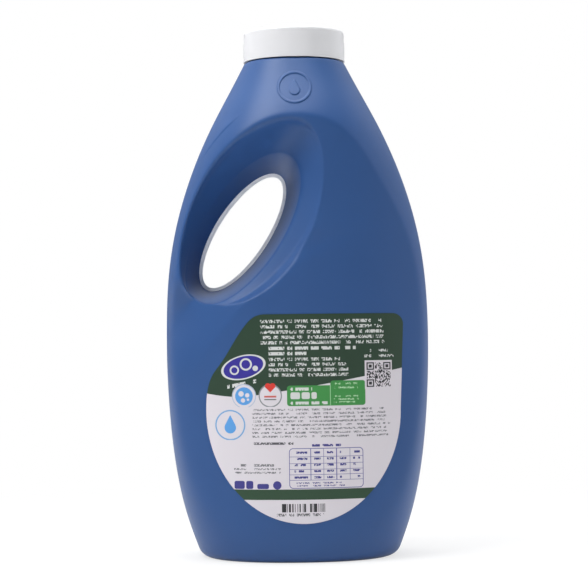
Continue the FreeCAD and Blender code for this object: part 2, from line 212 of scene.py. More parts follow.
def fall(x, z, turn, body):
    """How far the panel falls away under the tail of the grip, but not under its bar."""
    beyond = np.hypot(x - FALL_CENTRE[0], z - FALL_CENTRE[1]) - FALL_RADIUS
    near = ramp(z, *FALL_LEVELS[:2]) * (1 - ramp(z, *FALL_LEVELS[2:]))
    near = near * (1 - ramp(np.sin(turn), *FALL_BAR)) * np.clip(body / FALL_MARGIN, 0, 1)
    return FALL_SLOPE * near * FALL_SOFT * np.logaddexp(0, beyond / FALL_SOFT)


def skin_depth(x, z, inset=0.0):
    """Depth of the finished skin: body, panel and grip, whichever lies lowest."""
    body = body_depth(x, z, inset)
    panel = PANEL_DEPTH - PANEL_RADIUS + np.sqrt(np.maximum(PANEL_RADIUS ** 2 - x ** 2, 0))
    melt = np.clip((MELT_FROM - z) / MELT_RUN, 0, 1)
    ring, turn = ring_and_turn(x, z)
    faced = soft_min(body, panel - inset, CRISP + (MELTED - CRISP) * melt)
    faced = faced - fall(x, z, turn, body)
    grip = np.where(ring < OUTSIDE - RING_SLACK, grip_depth(ring, turn), FAR)
    bar_side = np.clip(np.sin(turn) * BAR_GAIN - BAR_FROM, 0, 1)
    pressed = soft_min(faced, grip, EDGE_CRISP + EDGE_SOFTER * bar_side)
    return np.maximum(np.minimum(faced, pressed), 0)


print("Depth beside the grip: %.1f" % skin_depth(np.array([20.0]), np.array([180.0]))[0])

# %% [markdown]
# ## Rolling the skin
#
# A grid is rolled into a tube, like sheet metal: its columns go round the body and its rows climb
# it. Rows crowd at the foot and at the shoulder, where the skin turns quickly. Where the grip is
# pressed in, the grid is cut away along an oval, and that edge is drawn inwards ring by ring down
# to the hole.

# %% Helpers between meshes and objects
FLAT_GAP = 1e-4
MERGE_GAP = 1e-6


def finish_mesh(work, name, smooth=True):
    """A bmesh in millimetres becomes an object in metres, at the origin and unturned."""
    bmesh.ops.scale(work, vec=(MM, MM, MM), verts=work.verts)
    for face in work.faces:
        face.smooth = smooth
    mesh = bpy.data.meshes.new(name)
    work.to_mesh(mesh)
    work.free()
    piece = bpy.data.objects.new(name, mesh)
    bpy.context.scene.collection.objects.link(piece)
    print("%s: %d faces" % (name, len(mesh.polygons)))
    return piece


def cad_copy(name):
    """A copy of a CAD node's mesh in millimetres, with its loose triangles merged."""
    work = bmesh.new()
    work.from_mesh(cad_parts[name].data)
    bmesh.ops.remove_doubles(work, verts=work.verts, dist=MERGE_GAP)
    bmesh.ops.scale(work, vec=(1 / MM, 1 / MM, 1 / MM), verts=work.verts)
    return work


def coordinates(verts):
    return np.array([vert.co for vert in verts], float).reshape(-1, 3)


def place(verts, x, y, z):
    for vert, spot in zip(verts, np.column_stack([x, y, z])):
        vert.co = spot


# %% Roll the grid into the body's tube
COLUMNS = 264
ROW_STEP = 1.32
FOOT_ROUND = 5.0
RIM_ROUND = 0.9
FOOT_COUNT = 8
RIM_COUNT = 6

foot_turns = np.linspace(0, math.pi / 2, FOOT_COUNT)[:-1]
foot_levels = FOOT_ROUND * (1 - np.cos(foot_turns))
foot_insets = FOOT_ROUND * (1 - np.sin(foot_turns))
straight_count = round((SHOULDER - RIM_ROUND - FOOT_ROUND) / ROW_STEP)
straight_levels = np.linspace(FOOT_ROUND, SHOULDER - RIM_ROUND, straight_count)
rim_turns = np.linspace(0, math.pi / 2, RIM_COUNT)[1:]
rim_levels = SHOULDER - RIM_ROUND * (1 - np.sin(rim_turns))
rim_insets = RIM_ROUND * (1 - np.cos(rim_turns))
row_levels = np.concatenate([foot_levels, straight_levels, rim_levels])
row_insets = np.concatenate([foot_insets, np.zeros(straight_count), rim_insets])

skin = bmesh.new()
bmesh.ops.create_grid(skin, x_segments=COLUMNS, y_segments=len(row_levels) - 1, size=0.5)
grid_spots = coordinates(skin.verts)
turns = 2 * math.pi * (grid_spots[:, 0] + 0.5)
rows = np.rint((grid_spots[:, 1] + 0.5) * (len(row_levels) - 1)).astype(int)
tube_z = row_levels[rows]
tube_inset = row_insets[rows]
swing = np.cos(turns)
tube_x = (half_width(tube_z) - tube_inset) * np.sign(swing) * np.abs(swing) ** (2 / FULLNESS)
tube_y = skin_depth(tube_x, tube_z, tube_inset) * np.sign(np.round(np.sin(turns), 6))
place(skin.verts, tube_x, tube_y, tube_z)
bmesh.ops.remove_doubles(skin, verts=skin.verts, dist=FLAT_GAP)
print("Tube: %d rows of %d columns" % (len(row_levels), COLUMNS))

# %% [markdown]
# ## Pressing in the grip
#
# The cut follows an oval that stays inside the handle's bar on one side, and lies just beyond the
# outer crease on the other. The ragged edge left by the grid is snapped to that oval and evened
# out, so that what is drawn inwards from it starts smooth.

# %% Cut the grid away inside an oval
BAR_EDGE = 1.5
BODY_EDGE = 2.42
ROUND_OFF = 40
BODY_SIDE = (-0.4, 0.2)


def body_share(turn):
    """0 on the bar's side of the grip, 1 on the body's side, with a smooth change between."""
    return ramp(-np.sin(turn), *BODY_SIDE)


def patch_edge(turn):
    return BAR_EDGE + (BODY_EDGE - BAR_EDGE) * body_share(turn)


centres = np.array([face.calc_center_median() for face in skin.faces])
face_ring, face_turn = ring_and_turn(centres[:, 0], centres[:, 2])
within = face_ring < patch_edge(face_turn)
doomed = [face for face, gone in zip(skin.faces, within) if gone]
bmesh.ops.delete(skin, geom=doomed, context="FACES")


def rim_edges(verts):
    """The open edges between the verts of a rim."""
    around = set(verts)
    return list({edge for vert in verts for edge in vert.link_edges
                 if edge.is_boundary and around.issuperset(edge.verts)})


def walk(start):
    """The verts of an open edge, in order, from one of them."""
    path, vert, last = [start], start, None
    while True:
        ahead = [edge for edge in vert.link_edges if edge.is_boundary and edge is not last]
        last = ahead[0]
        vert = last.other_vert(vert)
        if vert is start:
            return path
        path.append(vert)


edge_turns = {}
for side in (-1, 1):
    start = next(vert for vert in skin.verts if vert.is_boundary and vert.co.y * side > 0
                 and FOOT_ROUND < vert.co.z < SHOULDER - FOOT_ROUND)
    rim = walk(start)
    spots = coordinates(rim)
    turn = np.unwrap(ring_and_turn(spots[:, 0], spots[:, 2])[1])
    whole = 2 * math.pi * np.sign(turn[-1] - turn[0])
    for _ in range(ROUND_OFF):
        before = np.concatenate([[turn[-1] - whole], turn[:-1]])
        after = np.concatenate([turn[1:], [turn[0] + whole]])
        turn = (before + 2 * turn + after) / 4
    edge_turns[side] = (rim, turn)
    print("Grip edge: %d points" % len(rim))

# %% [markdown]
# Each ring of the drawing has a number between 0 at the web and the edge's own number. The rings
# are packed closely at the creases and spaced widely on the plain slopes between them.

# %% Draw the grip inwards
OUTER_STEPS = (1.0, 0.93, 0.87, 0.83, 0.80, 0.775, 0.755, 0.735, 0.715, 0.69, 0.66, 0.62, 0.56,
               0.48, 0.40, 0.32, 0.24, 0.17, 0.10, 0.0)
INNER_EDGE = 1.24
INNER_STEPS = (1.18, 1.13, 1.09, 1.06, 1.03, 1.0, 0.97, 0.94, 0.90, 0.85, 0.78, 0.68, 0.57, 0.46,
               0.35, 0.25, 0.16, 0.09, 0.04, 0.0)
WEB_DEPTH = 0.8
HOLE = ((37.9, 14.5, 0.8), (37.2, 13.8, 0.75), (36.9, 13.5, 0.4))


def ring_spots(ring, turn):
    """Places of a ring of the grip, and the skin's depth there."""
    ring = np.broadcast_to(np.asarray(ring, float), turn.shape)
    long, short, shift = oval(ring)
    x, z = from_grip(shift + long * np.cos(turn), short * np.sin(turn))
    return x, skin_depth(x, z), z


def draw_in(work, rim):
    """Extrudes a closed edge and returns the new verts, in the order of the old ones."""
    partner = {}
    grown = bmesh.ops.extrude_edge_only(work, edges=rim_edges(rim))["geom"]
    fresh = {item for item in grown if isinstance(item, bmesh.types.BMVert)}
    for vert in rim:
        for edge in vert.link_edges:
            other = edge.other_vert(vert)
            if other in fresh:
                partner[vert] = other
    return [partner[vert] for vert in rim]


hole_edges = {}
for side, (rim, turn) in edge_turns.items():
    outer = patch_edge(turn)
    x, y, z = ring_spots(outer, turn)
    place(rim, x, side * y, z)
    steps = [INNER_EDGE + (outer - INNER_EDGE) * step for step in OUTER_STEPS[1:]]
    steps += [np.full_like(turn, step) for step in INNER_STEPS]
    for ring in steps:
        rim = draw_in(skin, rim)
        x, y, z = ring_spots(ring, turn)
        place(rim, x, side * np.maximum(y, WEB_DEPTH), z)
    for long, short, deep in HOLE:
        rim = draw_in(skin, rim)
        x, z = from_grip(long * np.cos(turn), short * np.sin(turn))
        place(rim, x, np.full_like(x, side * deep), z)
    hole_edges[side] = rim_edges(rim)
bmesh.ops.bridge_loops(skin, edges=hole_edges[-1] + hole_edges[1])
print("Skin with its grip: %d faces" % len(skin.faces))

# %% [markdown]
# ## Emblem and crease
#
# The shoulder carries a raised mark, a drop in a ring. Only the faces under it are divided more
# finely, and then lifted by half a millimetre.

# %% Raise the emblem
EMBLEM_LEVEL = 263
EMBLEM_ROOM = 11.4
EMBLEM_RISE = 0.55
RING_MIDDLE = 8.95
RING_HALF = 0.65
DROP_RADIUS = 3.0
DROP_TIP = 6.4
EDGE_SOFT = 0.35
MARK_CUTS = 3


def emblem_rise(x, z):
    """Height of the raised ring and drop over the skin."""
    up = z - EMBLEM_LEVEL
    ring = RING_HALF - np.abs(np.hypot(x, up) - RING_MIDDLE)
    low = up + (DROP_TIP - DROP_RADIUS) / 2
    bowl = DROP_RADIUS - np.hypot(x, low)
    lean = DROP_RADIUS / DROP_TIP
    slope = (DROP_TIP - low) * lean - np.abs(x) * math.sqrt(1 - lean ** 2)
    taper = np.where(low > DROP_RADIUS * lean, slope, -FAR)
    inside = np.maximum(ring, np.maximum(bowl, taper))
    return EMBLEM_RISE * ramp(inside, -EDGE_SOFT / 2, EDGE_SOFT / 2)


def near_emblem(spot):
    return spot.y < 0 and abs(spot.x) < EMBLEM_ROOM and abs(spot.z - EMBLEM_LEVEL) < EMBLEM_ROOM


def lift(near, rise):
    """Divides the faces near a mark, then lifts their points off the plain skin."""
    marked = {edge for face in skin.faces if near(face.calc_center_median())
              for edge in face.edges}
    bmesh.ops.subdivide_edges(skin, edges=list(marked), cuts=MARK_CUTS, use_grid_fill=True)
    verts = [vert for vert in skin.verts if near(vert.co)]
    spots = coordinates(verts)
    lifted = skin_depth(spots[:, 0], spots[:, 2]) + rise(spots[:, 0], spots[:, 2])
    place(verts, spots[:, 0], lifted * np.sign(spots[:, 1]), spots[:, 2])
    return len(verts)


print("Emblem: %d points" % lift(near_emblem, emblem_rise))

# %% [markdown]
# Beside the upper end of the handle, blowing left a short crease: the skin steps down by half a
# millimetre along an arc. The faces round it are divided too, so that the step stays crisp.

# %% Press the short crease beside the handle
CREASE_CENTRE = (31.6, 166.0)
CREASE_RADIUS = 102.0
CREASE_LEVELS = (223.0, 231.0, 242.0, 250.0)
CREASE_STEP = 1.3
CREASE_RUN = 6.5
CREASE_RISE = 0.55
CREASE_INSIDE = 1.0


def beyond_crease(x, z):
    """How far a place lies outside the arc of the crease."""
    return np.hypot(x - CREASE_CENTRE[0], z - CREASE_CENTRE[1]) - CREASE_RADIUS


def crease_rise(x, z):
    """Height of the ridge that ends in the crease."""
    beyond = beyond_crease(x, z)
    ends = ramp(z, *CREASE_LEVELS[:2]) * (1 - ramp(z, *CREASE_LEVELS[2:]))
    ridge = ramp(beyond, 0.0, CREASE_STEP) * (1 - ramp(beyond, CREASE_STEP, CREASE_RUN))
    return CREASE_RISE * ends * ridge


def near_crease(spot):
    return (spot.x < 0 and CREASE_LEVELS[0] < spot.z < CREASE_LEVELS[-1]
            and -CREASE_INSIDE < beyond_crease(spot.x, spot.z) < CREASE_RUN)


print("Crease: %d points" % lift(near_crease, crease_rise))

# %% [markdown]
# ## Foot and neck
#
# The foot is a flat standing ring round a pushed-up middle, which lets the bottle stand on a rim.

# %% Close the foot
STANDING_RING = 9.0
PUSH_UP = 4.0
PUSH_UP_RUN = 12.0
FOOT_WIDTH, FOOT_DEPTH = BODY_RINGS[0][1:]
FOOT_STEPS = 7
FOOT_INNER = (30.0, 40.0)


def edge_loop(work, level):
    """The open edge at a level, in order round the axis."""
    verts = {vert for edge in work.edges if edge.is_boundary for vert in edge.verts
             if abs(vert.co.z - level) < FLAT_GAP}
    return sorted(verts, key=lambda vert: math.atan2(vert.co.y, vert.co.x))


foot = edge_loop(skin, 0)
outline = coordinates(foot)
turn = np.arctan2(outline[:, 1] / FOOT_DEPTH, outline[:, 0] / FOOT_WIDTH)
foot_cos = np.sign(np.cos(turn)) * np.abs(outline[:, 0]) / (FOOT_WIDTH - FOOT_ROUND)
foot_sin = outline[:, 1] / (FOOT_DEPTH - FOOT_ROUND)
foot_rings = [(STANDING_RING + PUSH_UP_RUN * part, PUSH_UP * ramp(part, 0, 1))
              for part in np.linspace(0, 1, FOOT_STEPS + 1)]
foot_rings += [(margin, PUSH_UP) for margin in FOOT_INNER]
for margin, level in foot_rings:
    foot = draw_in(skin, foot)
    wide, deep = FOOT_WIDTH - margin, FOOT_DEPTH - margin
    place(foot, wide * foot_cos, deep * foot_sin, np.full(len(foot), level))
bmesh.ops.holes_fill(skin, edges=rim_edges(foot))
print("Foot closed round %d points" % len(foot))

# %% [markdown]
# The neck carries a three-start thread. The CAD already has it exactly, so the neck is taken from
# a copy of the CAD bottle, cut off at the shoulder. The skin's flat top is then drawn in to meet
# it, and the bore is closed below the spout.

# %% Take the neck from a copy of the CAD bottle
NECK_FLARE = 27.0
NECK_RADIUS = 25.0
NECK_BORE = 23.2
RADIUS_GAP = 0.4
LEVEL_GAP = 0.01
CUT_LEVEL = SHOULDER + 0.02
BORE_FLOOR = 262.0

neck = cad_copy("bottle")
bmesh.ops.bisect_plane(neck, geom=neck.verts[:] + neck.edges[:] + neck.faces[:],
                       plane_co=(0, 0, CUT_LEVEL), plane_no=(0, 0, 1), clear_inner=True)
neck_mesh = bpy.data.meshes.new("neck_cut")
neck.to_mesh(neck_mesh)
neck.free()
top = edge_loop(skin, SHOULDER)
for radius in (NECK_FLARE, NECK_RADIUS):
    top = draw_in(skin, top)
    spots = coordinates(top)
    length = np.hypot(spots[:, 0], spots[:, 1])
    place(top, spots[:, 0] * radius / length, spots[:, 1] * radius / length,
          np.full(len(top), CUT_LEVEL))
skin.from_mesh(neck_mesh)
bpy.data.meshes.remove(neck_mesh)


def open_edges(radius):
    """Open edges of the skin at the cut, at a distance from the axis."""
    found = []
    for edge in skin.edges:
        spot = (edge.verts[0].co + edge.verts[1].co) / 2
        apart = abs(math.hypot(*spot.xy) - radius)
        if edge.is_boundary and abs(spot.z - CUT_LEVEL) < LEVEL_GAP and apart < RADIUS_GAP:
            found.append(edge)
    return found


bmesh.ops.bridge_loops(skin, edges=open_edges(NECK_RADIUS))
bore = open_edges(NECK_BORE)
grown = bmesh.ops.extrude_edge_only(skin, edges=bore)["geom"]
bore_verts = [item for item in grown if isinstance(item, bmesh.types.BMVert)]
bmesh.ops.translate(skin, vec=(0, 0, BORE_FLOOR - CUT_LEVEL), verts=bore_verts)
bore_edges = [item for item in grown if isinstance(item, bmesh.types.BMEdge)]
bmesh.ops.holes_fill(skin, edges=bore_edges)
bmesh.ops.recalc_face_normals(skin, faces=skin.faces)
print("Open edges left: %d" % sum(edge.is_boundary for edge in skin.edges))
bottle_skin = finish_mesh(skin, "bottle_skin")
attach(bottle_skin, "bottle_body")
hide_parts("bottle")

# %% [markdown]
# ## Liquid
#
# The liquid fills the bottle to its shoulder. Its solid keeps its level and its outline, and gives
# way only where the softened skin runs deeper than the CAD wall, so that it never shows outside.

# %% Liquid inside the softened skin
LONG_EDGE = 5.0
DIVISIONS = 4
SKIN_AND_GAP = 1.8
LIQUID_NECK = BORE_FLOOR - 8

liquid = cad_copy("detergent")
for _ in range(DIVISIONS):
    long_edges = [edge for edge in liquid.edges if edge.calc_length() > LONG_EDGE]
    bmesh.ops.subdivide_edges(liquid, edges=long_edges, cuts=1)
    bmesh.ops.triangulate(liquid, faces=liquid.faces)
below = [vert for vert in liquid.verts if vert.co.z < LIQUID_NECK]
spots = coordinates(below)
room = np.maximum(skin_depth(spots[:, 0], spots[:, 2]) - SKIN_AND_GAP, 0)
place(below, spots[:, 0], np.clip(spots[:, 1], -room, room), spots[:, 2])
liquid_fill = finish_mesh(liquid, "detergent_fill", smooth=False)
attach(liquid_fill, "bottle_body")
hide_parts("detergent")

# %% [markdown]
# ## Writing materials as sums
#
# A material is a network of small nodes. It reads best as arithmetic, so a short class wraps one
# socket of the network: adding or multiplying two wrapped sockets adds the Math node that does it.
# Every other node comes from one method, which takes its settings and its inputs.

# %% A socket that can be added and multiplied
class Wire:
    """A socket of a material. Sums, products and comparisons of wires add their Math nodes."""

    def __init__(self, tree, socket=None):
        self.tree = tree
        self.socket = socket

    def node(self, kind, settings=None, inputs=None, output=0):
        """Adds a node, makes its settings, then fills inputs with numbers, colours or wires."""
        made = self.tree.nodes.new(kind)
        for name, value in (settings or {}).items():
            setattr(made, name, value)
        for name, value in (inputs or {}).items():
            if isinstance(value, Wire):
                self.tree.links.new(value.socket, made.inputs[name])
            else:
                made.inputs[name].default_value = value
        return Wire(self.tree, made.outputs[output] if made.outputs else None)

    def math(self, operation, *others):
        values = dict(enumerate((self,) + others))
        return self.node("ShaderNodeMath", {"operation": operation}, values)

    def __rsub__(self, other):
        return self.node("ShaderNodeMath", {"operation": "SUBTRACT"}, {0: other, 1: self})

    __add__ = __radd__ = partialmethod(math, "ADD")
    __mul__ = __rmul__ = partialmethod(math, "MULTIPLY")
    __sub__ = partialmethod(math, "SUBTRACT")
    __truediv__ = partialmethod(math, "DIVIDE")
    __gt__ = partialmethod(math, "GREATER_THAN")
    __lt__ = partialmethod(math, "LESS_THAN")
    __or__ = partialmethod(math, "MAXIMUM")
    __and__ = partialmethod(math, "MINIMUM")
    __abs__ = partialmethod(math, "ABSOLUTE")
    floor = partialmethod(math, "FLOOR")
    fraction = partialmethod(math, "FRACT")
    root = partialmethod(math, "SQRT")

    def mixed(self, first, second):
        """A colour between two colours, by this wire as the share of the second."""
        return self.node("ShaderNodeMix", {"data_type": "RGBA"}, {0: self, 6: first, 7: second}, 2)


def srgb(red, green, blue):
    """A colour as a picture shows it, 0 to 255, in the linear values that a shader takes."""
    shown = [part / 255 for part in (red, green, blue)]
    return tuple(part / 12.92 if part <= 0.04045 else ((part + 0.055) / 1.055) ** 2.4
                 for part in shown) + (1.0,)


def new_material(name):
    """An empty material, and the wire of the surface's place in millimetres."""
    material = bpy.data.materials.new(name)
    material.use_nodes = True
    material.node_tree.nodes.clear()
    in_metres = Wire(material.node_tree).node("ShaderNodeTexCoord", output=3)
    return material, in_metres.node("ShaderNodeVectorMath", {"operation": "SCALE"},
                                    {0: in_metres, "Scale": 1 / MM})


def split(vector):
    """The three parts of a vector."""
    made = vector.node("ShaderNodeSeparateXYZ", inputs={0: vector}).socket.node
    return [Wire(vector.tree, made.outputs[axis]) for axis in range(3)]


def noise(spot, scale, detail=3.0):
    """Soft noise from 0 to 1, with features about 1 / scale millimetres wide."""
    return spot.node("ShaderNodeTexNoise", {"noise_dimensions": "3D"},
                     {"Vector": spot, "Scale": scale, "Detail": detail})


def finish_material(colour, roughness, height, distance, **constants):
    """The plastic shader: what varies is wired, and constants are set on their own sockets."""
    inputs = {"Base Color": colour, "Roughness": roughness}
    inputs["Normal"] = colour.node("ShaderNodeBump", inputs={
        "Strength": 1.0, "Distance": distance * MM, "Height": height})
    for name, value in constants.items():
        inputs[name.replace("_", " ")] = value
    surface = colour.node("ShaderNodeBsdfPrincipled", inputs=inputs)
    surface.node("ShaderNodeOutputMaterial", inputs={"Surface": surface})


def paint(piece, material):
    """Puts one material on a piece or on a CAD node, in every slot."""
    if not piece.material_slots:
        piece.data.materials.append(material)
    for slot in piece.material_slots:
        slot.material = material


print("Materials are written as sums")

# %% [markdown]
# ## Blue blown plastic
#
# Blown polyethylene has a soft satin gloss. The wall thins and thickens, so its colour drifts a
# little over wide areas. The mould was blasted with fine grit, which left a grain of a few tenths
# of a millimetre, and the two halves of the mould met in a thin line round the sides and the foot.

# %% Bottle plastic
BOTTLE_BLUE = srgb(46, 82, 136)
BOTTLE_DEEP = srgb(41, 75, 127)
# painted light: near white stands for light shining through and glinting on the thin web round the
# hole
RIM_PAINTED_LIGHT = srgb(250, 252, 255)
RIM_OVAL = (39.2, 15.8)
RIM_DEPTH = 1.6
PARTING_HALF = 0.22
PARTING_RISE = 1.6

plastic, spot = new_material("blown_blue_plastic")
x, y, z = split(spot)
drift = noise(spot, 0.018, 2.0)
grain = noise(spot, 1.9, 2.0)
haze = noise(spot, 0.12, 3.0)
parting = 1 - (abs(y) / PARTING_HALF & 1.0)
along, across = to_grip(x, z)
reach = along * along / RIM_OVAL[0] ** 2 + across * across / RIM_OVAL[1] ** 2
# the web's ring round the hole gets a painted highlight, near white, in place of the light that
# shines through it
web = (reach < 1.0) * (abs(y) < RIM_DEPTH)
colour = web.mixed(drift.mixed(BOTTLE_DEEP, BOTTLE_BLUE), RIM_PAINTED_LIGHT)
rough = 0.38 + haze * 0.06 + grain * 0.03
finish_material(colour, rough, grain * 0.25 + parting * PARTING_RISE, 0.07,
                Specular_IOR_Level=0.38, IOR=1.45)
paint(bottle_skin, plastic)
print("Bottle plastic done")

# %% [markdown]
# ## Cap, spout, seal and liquid
#
# The cap is injection moulded in an opaque white, smoother than the bottle, with faint flow marks.
# The spout is the same plastic without pigment, so light gets a little way into it. The seal is a
# pressed foam, and the liquid shows only through the drain hole.

# %% Cap, spout, seal and liquid finishes
cap_finish, spot = new_material("cap_white_plastic")
flow = noise(spot, 0.05, 3.0)
grain = noise(spot, 2.4, 2.0)
colour = flow.mixed(srgb(211, 211, 213), srgb(218, 218, 220))
finish_material(colour, 0.30 + flow * 0.08, grain, 0.012, IOR=1.5)
paint(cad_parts["cap"], cap_finish)

spout_finish, spot = new_material("spout_natural_plastic")
cloud = noise(spot, 0.09, 3.0)
colour = cloud.mixed(srgb(206, 211, 216), srgb(219, 223, 226))
finish_material(colour, 0.34 + cloud * 0.08, noise(spot, 1.8, 2.0), 0.015,
                Subsurface_Weight=0.15, Subsurface_Radius=(0.004, 0.004, 0.005), IOR=1.5)
paint(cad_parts["pour_spout"], spout_finish)

seal_finish, spot = new_material("seal_foam")
cells = spot.node("ShaderNodeTexVoronoi", {"feature": "F1"}, {"Vector": spot, "Scale": 3.2})
colour = cells.mixed(srgb(226, 226, 222), srgb(196, 197, 196))
finish_material(colour, 0.85 + cells * 0.1, cells, 0.08)
paint(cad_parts["seal_ring"], seal_finish)

liquid_finish, spot = new_material("liquid_detergent")
swirl = noise(spot, 0.03, 2.0)
colour = swirl.mixed(srgb(96, 150, 196), srgb(122, 174, 214))
finish_material(colour, 0.06 + swirl * 0.04, swirl, 0.2, IOR=1.36)
paint(liquid_fill, liquid_finish)
print("Four finishes done")

# %% [markdown]
# ## The printed labels
#
# A label is a thin glossy film. Its print is only fields of colour and simple shapes: a dark green
# head with a wavy lower edge, a white field, a green stripe, and rows of small marks. Each shape is
# a mask, worked out from the place on the label, and each mask lets one colour through.

# %% Masks for printed shapes
DROP_TALL = 2.2
DROP_LEAN = 0.52
DROP_NECK = 0.45
WORD_CELL = 1.45
WORD_SHIFT = 3.7
GAP_SHARE = 0.17
STROKE_CELL = 0.43
STROKE_LAYERS = 3.0
LAYER_SHIFT = 17.3
GAP_SEED, END_SEED, STROKE_SEED = 1.0, 2.0, 3.0


def every(shape, x, z, table):
    """1 wherever one of the shapes in a table is 1. They are made one at a time."""
    made = None
    for row in table:
        mask = shape(x, z, *row)
        made = mask if made is None else made | mask
    return made


def bar(x, z, left, right, low, high):
    """1 inside an upright rectangle."""
    return (abs(x - (left + right) / 2) < (right - left) / 2) * (
        abs(z - (low + high) / 2) < (high - low) / 2)


def disc(x, z, right, up, radius):
    """1 inside a circle."""
    across, above = x - right, z - up
    return (across * across + above * above) < radius ** 2


def hoop(x, z, right, up, radius, line):
    """1 on a circular line."""
    across, above = x - right, z - up
    return abs((across * across + above * above).root() - radius) < line / 2


def tile(x, z, left, right, low, high, corner):
    """1 inside a rectangle with rounded corners."""
    across = abs(x - (left + right) / 2) - ((right - left) / 2 - corner) | 0.0
    above = abs(z - (low + high) / 2) - ((high - low) / 2 - corner) | 0.0
    return (across * across + above * above) < corner ** 2


def drop(x, z, right, up, radius):
    """1 inside a drop with its point up."""
    across, above = abs(x - right), z - up
    bowl = (across * across + above * above) < radius ** 2
    taper = (across < (radius * DROP_TALL - above) * DROP_LEAN) * (above > radius * DROP_NECK)
    return bowl | taper


def chance(wire, *cell):
    """A random number from 0 to 1 for every cell, which is given by up to three numbers."""
    joined = wire.node("ShaderNodeCombineXYZ", inputs=dict(enumerate(cell)))
    return wire.node("ShaderNodeTexWhiteNoise", {"noise_dimensions": "3D"}, {"Vector": joined})


def words(x, z, left, right, top, pitch, rows, height, ragged, missing=0.42):
    """Rows of short marks, broken like words, with ragged ends."""
    down = (top - z) / pitch
    row = down.floor()
    inside = (down > 0) * (down < rows)
    line = (down.fraction() < height / pitch) * inside
    word = (x / WORD_CELL + row * WORD_SHIFT).floor()
    gap = chance(x, word, row, GAP_SEED) > GAP_SHARE
    layer = (down * (pitch * STROKE_LAYERS / height)).floor()
    speck = (x / STROKE_CELL).floor() + layer * LAYER_SHIFT
    strokes = chance(x, speck, row, STROKE_SEED) > missing
    end = right - chance(x, 0.0, row, END_SEED) * ragged
    return line * gap * strokes * (x > left) * (x < end)


print("Masks ready")

# %% [markdown]
# The back label has too many shapes for one material. A copy of its film is cut level into a head,
# a middle and a foot, and each part gets a material with its own share of the shapes.

# %% Cut the back label into three parts
WAVE_FOOT = 86.2
TABLE_TOP = 68.0

label_work = cad_copy("back_label")
for level in (WAVE_FOOT, TABLE_TOP):
    bmesh.ops.bisect_plane(label_work, plane_co=(0, 0, level), plane_no=(0, 0, 1),
                           geom=label_work.verts[:] + label_work.edges[:] + label_work.faces[:])
for face in label_work.faces:
    middle = face.calc_center_median().z
    face.material_index = int(middle < WAVE_FOOT) + int(middle < TABLE_TOP)
back_film = finish_mesh(label_work, "back_label_film", smooth=False)
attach(back_film, "bottle_body")
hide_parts("back_label")

# %% [markdown]
# Every label has a white ground, a green head with a wavy edge, and a green stripe near its foot.
# The film's own shader is the same for all of the print.

# %% Inks and fields of the labels
LABEL_GREEN = srgb(34, 59, 42)
STRIPE_GREEN = srgb(38, 68, 46)
BADGE_GREEN = srgb(58, 136, 66)
LABEL_WHITE = srgb(210, 205, 211)
PRINT_WHITE = srgb(204, 206, 204)
PRINT_GREY = srgb(112, 113, 118)
PRINT_NAVY = srgb(58, 56, 128)
SKY_BLUE = srgb(84, 150, 212)
HEART_RED = srgb(206, 54, 44)
INK = srgb(40, 40, 44)
# the wavy edge: where it turns, its level there, its slope, and its bends on the right and left
WAVE_TURN = -30.0
WAVE_LEVEL = 91.6
WAVE_SLOPE = 0.135
WAVE_BENDS = (0.0004, 0.0047)
STRIPE = (35.2, 40.9)


def add_stripe(z, colour):
    """The green stripe near the foot of a label, over a colour."""
    return ((z > STRIPE[0]) * (z < STRIPE[1])).mixed(colour, STRIPE_GREEN)


def label_fields(x, z):
    """The white ground, the green head with its wavy edge, and the stripe below."""
    beyond = x - WAVE_TURN
    right, left = beyond | 0.0, beyond & 0.0
    wave = WAVE_LEVEL + right * WAVE_SLOPE
    wave = wave + right * right * WAVE_BENDS[0] + left * left * WAVE_BENDS[1]
    return add_stripe(z, (z > wave).mixed(LABEL_WHITE, LABEL_GREEN))


def finish_film(spot, colour):
    """The printed film's shader, a little glossy and slightly mottled."""
    mottle = noise(spot, 0.5, 2.0)
    finish_material(colour, 0.36 + mottle * 0.05, mottle, 0.02, IOR=1.46)


print("Inks and fields ready")

# %% [markdown]
# The head of the back label carries light rows of marks on the green. Each line of the table gives
# a block's left and right end, its top, the pitch, number and height of its rows, how ragged their
# ends are, and the share of missing strokes.

# %% Light marks on the green head
HEAD_WORDS = (
    (-20.4, 50.5, 133.9, 2.93, 5, 1.75, 4.0), (-16, 33, 119.1, 2.9, 1, 1.8, 1.0, 0.1),
    (-16, 5.3, 116.2, 2.9, 1, 1.8, 0.5, 0.1), (-16, 34, 113.0, 2.87, 4, 1.7, 9.0),
    (40, 50.4, 117.2, 2.9, 1, 1.5, 0.4), (36.8, 53.6, 114.2, 2.9, 1, 1.5, 0.4))

head_finish, spot = new_material("back_label_head_print")
x, y, z = split(spot)
colour = label_fields(x, z)
marks = every(words, x, z, HEAD_WORDS)
colour = marks.mixed(colour, PRINT_WHITE)
print("Light marks: %d blocks" % len(HEAD_WORDS))

# %% [markdown]
# The splash is a tilted oval with a white edge, bubbles and a slanted row of marks. Discs are
# given by their centre and radius.

# %% Splash
SPLASH_BLUE = srgb(48, 40, 140)
SPLASH_CENTRE = (-30.0, 108.0)
SPLASH_TILT = (0.97, 0.24)
SPLASH_HALF = (12.6, 6.6)
SPLASH_FIELD = 0.80
BUBBLES = ((-35.0, 106.4, 2.6), (-28.6, 109.6, 3.4), (-23.4, 107.4, 1.5))
BUBBLE_INSIDES = ((-35.0, 106.4, 1.7), (-28.6, 109.6, 2.4))
TAG = (-39, -22.5, 106.0, 2.9, 1, 2.0, 0.5, 0.12)
TAG_SLANT = -0.20

